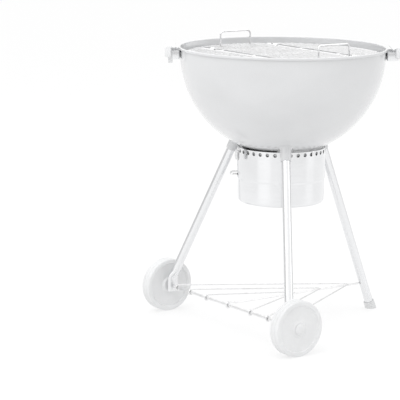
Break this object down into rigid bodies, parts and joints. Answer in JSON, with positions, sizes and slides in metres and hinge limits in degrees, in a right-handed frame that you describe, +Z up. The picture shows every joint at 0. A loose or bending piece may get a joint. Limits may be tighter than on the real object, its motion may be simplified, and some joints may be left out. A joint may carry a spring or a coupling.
{
  "type": "kettle charcoal grill",
  "caption": "Open kettle charcoal grill: enamelled bowl on splayed tube legs with wheels, ash bucket, hinged wire cooking grate, vent damper and wire bottom rack.",
  "frame": {"origin": "middle of the bounding box's base, on the ground", "axes": "+Z up, +X along the axle from the left wheel to the right wheel, +Y towards the plain front leg"},
  "size_m": [0.664, 0.6598, 0.8181],
  "materials": {
    "enamel": "glossy vitreous enamel, pale grey",
    "leg_tube": "satin drawn tube and folded sheet",
    "bucket_aluminium": "brushed round the bucket",
    "plated_steel": "bright plated wire and sheet",
    "fuel_steel": "plain rod",
    "blade_steel": "aluminised sheet",
    "grip_plastic": "moulded, fine texture",
    "wheel_plastic": "moulded, satin",
    "foot_plastic": "moulded, satin"
  },
  "bodies": {
    "stand": {"bowl": "enamel", "grate_shelf_1": "plated_steel", "grate_shelf_2": "plated_steel", "grate_shelf_3": "plated_steel", "grate_shelf_4": "plated_steel", "leg_left": "leg_tube", "leg_right": "leg_tube", "leg_front": "leg_tube", "foot_cap": "foot_plastic", "axle": "plated_steel", "hub_cap_left": "wheel_plastic", "hub_cap_right": "wheel_plastic", "bottom_rack": "plated_steel", "ash_ring": "enamel", "ring_clip_1": "plated_steel", "ring_clip_2": "plated_steel", "ring_clip_3": "plated_steel", "charcoal_grate": "fuel_steel", "handle_bracket_1": "leg_tube", "handle_bracket_2": "leg_tube", "handle_grip_1": "grip_plastic", "handle_grip_2": "grip_plastic", "handle_bolt_1a": "plated_steel", "handle_bolt_1b": "plated_steel", "handle_bolt_2a": "plated_steel", "handle_bolt_2b": "plated_steel"},
    "left_wheel": {"wheel_left": "wheel_plastic"},
    "right_wheel": {"wheel_right": "wheel_plastic"},
    "grate": {"grate_centre": "plated_steel", "grate_handle_1": "plated_steel", "grate_handle_2": "plated_steel"},
    "front_flap": {"flap_front": "plated_steel"},
    "rear_flap": {"flap_rear": "plated_steel"},
    "damper": {"damper_sweep": "blade_steel", "damper_shaft": "plated_steel", "damper_nut": "plated_steel", "damper_lever": "plated_steel", "lever_grip": "grip_plastic"},
    "bucket": {"ash_bucket": "bucket_aluminium", "bucket_pull": "plated_steel"}
  },
  "joints": [
    {"name": "left_wheel_spin", "type": "hinge", "parent": "stand", "child": "left_wheel", "pos_m": [-0.3095, -0.20428, 0.0762], "axis": [1, 0, 0], "continuous": true},
    {"name": "right_wheel_spin", "type": "hinge", "parent": "stand", "child": "right_wheel", "pos_m": [0.3095, -0.20428, 0.0762], "axis": [1, 0, 0], "continuous": true},
    {"name": "grate_lift", "type": "slide", "parent": "stand", "child": "grate", "axis": [0, 0, 1], "range_m": [0, 0.2]},
    {"name": "front_flap_hinge", "type": "hinge", "parent": "grate", "child": "front_flap", "pos_m": [0, 0.08162, 0.77], "axis": [1, 0, 0], "range_deg": [0, 100]},
    {"name": "rear_flap_hinge", "type": "hinge", "parent": "grate", "child": "rear_flap", "pos_m": [0, -0.13818, 0.77], "axis": [-1, 0, 0], "range_deg": [0, 100]},
    {"name": "damper_turn", "type": "hinge", "parent": "stand", "child": "damper", "pos_m": [0, -0.02828, 0.49], "axis": [0, 0, 1], "range_deg": [0, 50]},
    {"name": "bucket_drop", "type": "slide", "parent": "stand", "child": "bucket", "axis": [0, 0, -1], "range_m": [0, 0.2]}
  ]
}
